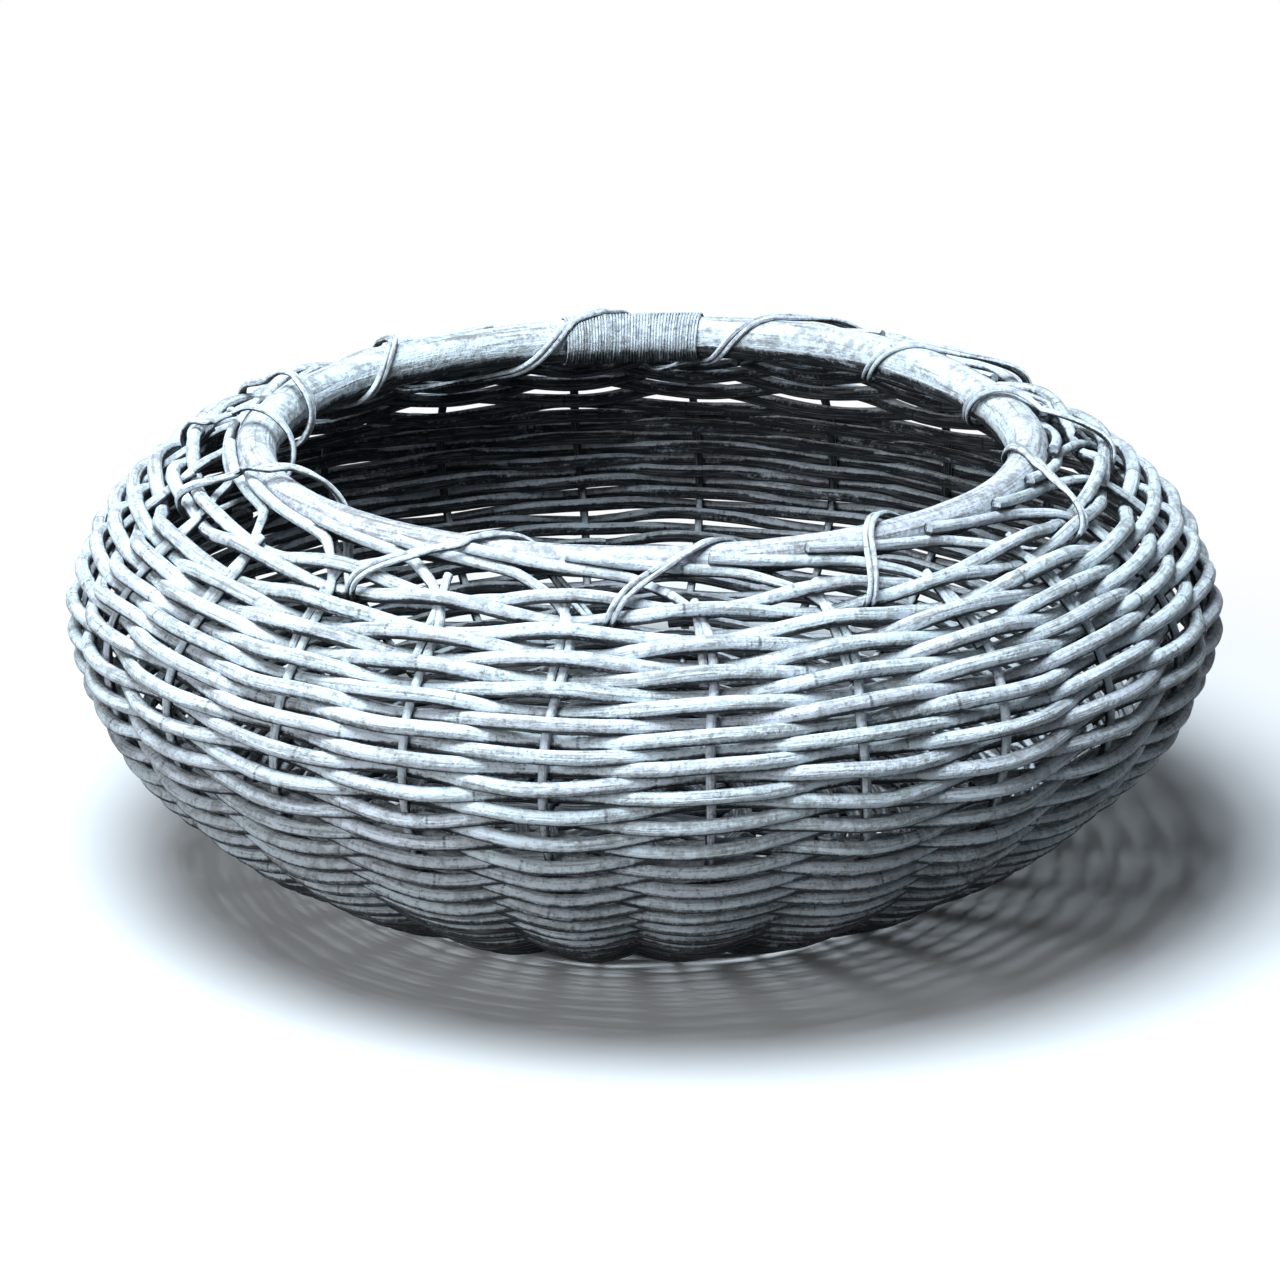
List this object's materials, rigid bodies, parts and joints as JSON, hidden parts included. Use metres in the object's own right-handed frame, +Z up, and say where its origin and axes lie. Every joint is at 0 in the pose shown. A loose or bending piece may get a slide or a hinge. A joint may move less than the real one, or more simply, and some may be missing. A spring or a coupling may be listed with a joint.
{
  "type": "rattan basket",
  "caption": "Round, low woven rattan basket with a wide belly, a drawn-in mouth and a thick lashed rim pole, in worn whitewash.",
  "frame": {"origin": "on the floor, on the basket's axis", "axes": "+Z up along the basket's axis; -Y faces the picture's camera, so the rim pole's joint is at +Y"},
  "size_m": [0.5953, 0.5939, 0.2508],
  "materials": {
    "woven_cane": "worn whitewash over round rattan cane",
    "upright_cane": "worn whitewash over round rattan cane",
    "base_cane": "thin grey wash over round rattan cane",
    "rim_pole": "worn whitewash over a thick rattan pole",
    "binding_cane": "split cane in worn whitewash"
  },
  "bodies": {
    "root": {"base_rod_01": "upright_cane", "base_rod_02": "upright_cane", "base_rod_03": "upright_cane", "base_rod_04": "upright_cane", "base_rod_05": "upright_cane", "base_rod_06": "upright_cane", "base_rod_07": "upright_cane", "base_rod_08": "upright_cane", "base_rod_09": "upright_cane", "base_rod_10": "upright_cane", "base_rod_11": "upright_cane", "base_rod_12": "upright_cane", "bye_stake_01": "upright_cane", "bye_stake_02": "upright_cane", "bye_stake_03": "upright_cane", "bye_stake_04": "upright_cane", "bye_stake_05": "upright_cane", "bye_stake_06": "upright_cane", "bye_stake_07": "upright_cane", "bye_stake_08": "upright_cane", "bye_stake_09": "upright_cane", "bye_stake_10": "upright_cane", "bye_stake_11": "upright_cane", "bye_stake_12": "upright_cane", "bye_stake_13": "upright_cane", "bye_stake_14": "upright_cane", "bye_stake_15": "upright_cane", "bye_stake_16": "upright_cane", "bye_stake_17": "upright_cane", "bye_stake_18": "upright_cane", "bye_stake_19": "upright_cane", "bye_stake_20": "upright_cane", "bye_stake_21": "upright_cane", "bye_stake_22": "upright_cane", "bye_stake_23": "upright_cane", "bye_stake_24": "upright_cane", "wall_weaver_a_01": "woven_cane", "wall_weaver_a_02": "woven_cane", "wall_weaver_a_03": "woven_cane", "wall_weaver_a_04": "woven_cane", "wall_weaver_a_05": "woven_cane", "wall_weaver_a_06": "woven_cane", "wall_weaver_b_01": "woven_cane", "wall_weaver_b_02": "woven_cane", "wall_weaver_b_03": "woven_cane", "wall_weaver_b_04": "woven_cane", "wall_weaver_b_05": "woven_cane", "wall_weaver_b_06": "woven_cane", "border_weaver_lower": "woven_cane", "border_weaver_upper": "woven_cane", "foot_weaver_inner": "base_cane", "foot_weaver_outer": "base_cane", "base_weaver_inner_a": "base_cane", "base_weaver_inner_b": "base_cane", "base_weaver_outer_a": "base_cane", "base_weaver_outer_b": "base_cane", "rim_pole": "rim_pole", "joint_whipping": "binding_cane", "rim_lashing_a": "binding_cane", "rim_lashing_b": "binding_cane"}
  },
  "joints": []
}
